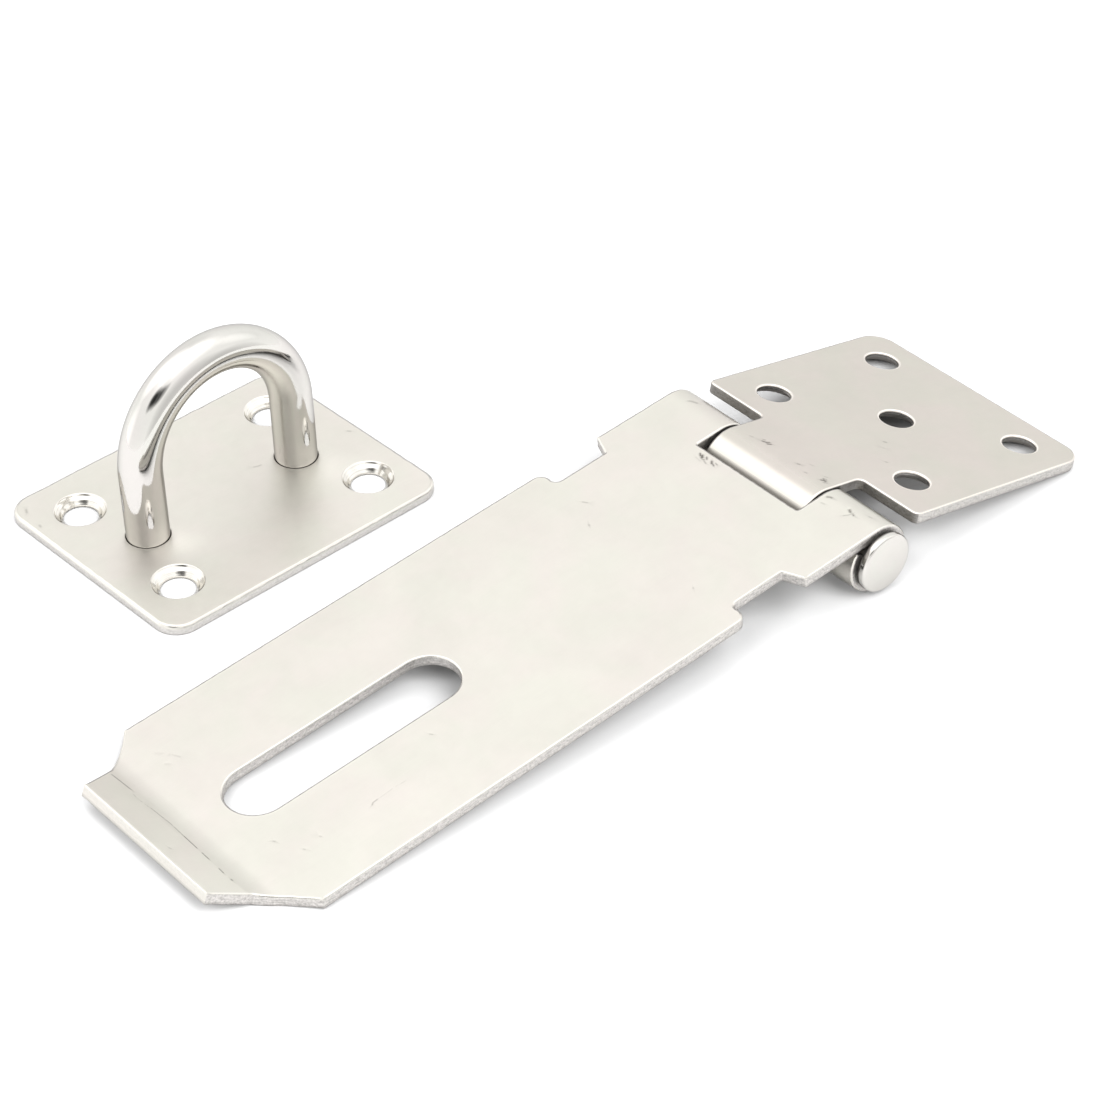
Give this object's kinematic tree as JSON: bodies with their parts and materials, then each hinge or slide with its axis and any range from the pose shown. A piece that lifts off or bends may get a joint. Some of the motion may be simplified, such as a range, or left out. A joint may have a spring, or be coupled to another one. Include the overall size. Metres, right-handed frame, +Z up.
{
  "type": "hasp and staple",
  "caption": "Pressed-steel safety hasp with slotted strap, rolled-barrel hinge and screw-down leaf, and its separate plate-mounted round-bar staple for a padlock.",
  "frame": {"origin": "bottom centre of the box round the whole set, on the surface it lies on", "axes": "+Z up; +X along the staple's plate and, to within 2.3 degrees, along the hasp from strap to leaf; +Y from the hasp towards the staple"},
  "size_m": [0.1454, 0.0934, 0.0272],
  "materials": {
    "strap_steel": "satin",
    "leaf_steel": "satin",
    "pin_steel": "polished",
    "plate_steel": "satin",
    "loop_steel": "polished"
  },
  "bodies": {
    "hasp": {"hasp_strap": "strap_steel"},
    "leaf": {"fixed_leaf": "leaf_steel"},
    "pin": {"hinge_pin": "pin_steel"},
    "staple": {"staple_plate": "plate_steel", "staple_loop": "loop_steel"}
  },
  "joints": [
    {"name": "hasp_hinge", "type": "hinge", "parent": "hasp", "child": "leaf", "pos_m": [0.03118, -0.02479, 0.005], "axis": [0.0398, 0.9992, 0], "range_deg": [-97, 163.1]},
    {"name": "pin_spin", "type": "hinge", "parent": "hasp", "child": "pin", "pos_m": [0.03118, -0.02479, 0.005], "axis": [0.0398, 0.9992, 0], "continuous": true},
    {"name": "staple_slide", "type": "slide", "parent": "hasp", "child": "staple", "axis": [0, 1, 0], "range_m": [0, 0.06]}
  ]
}
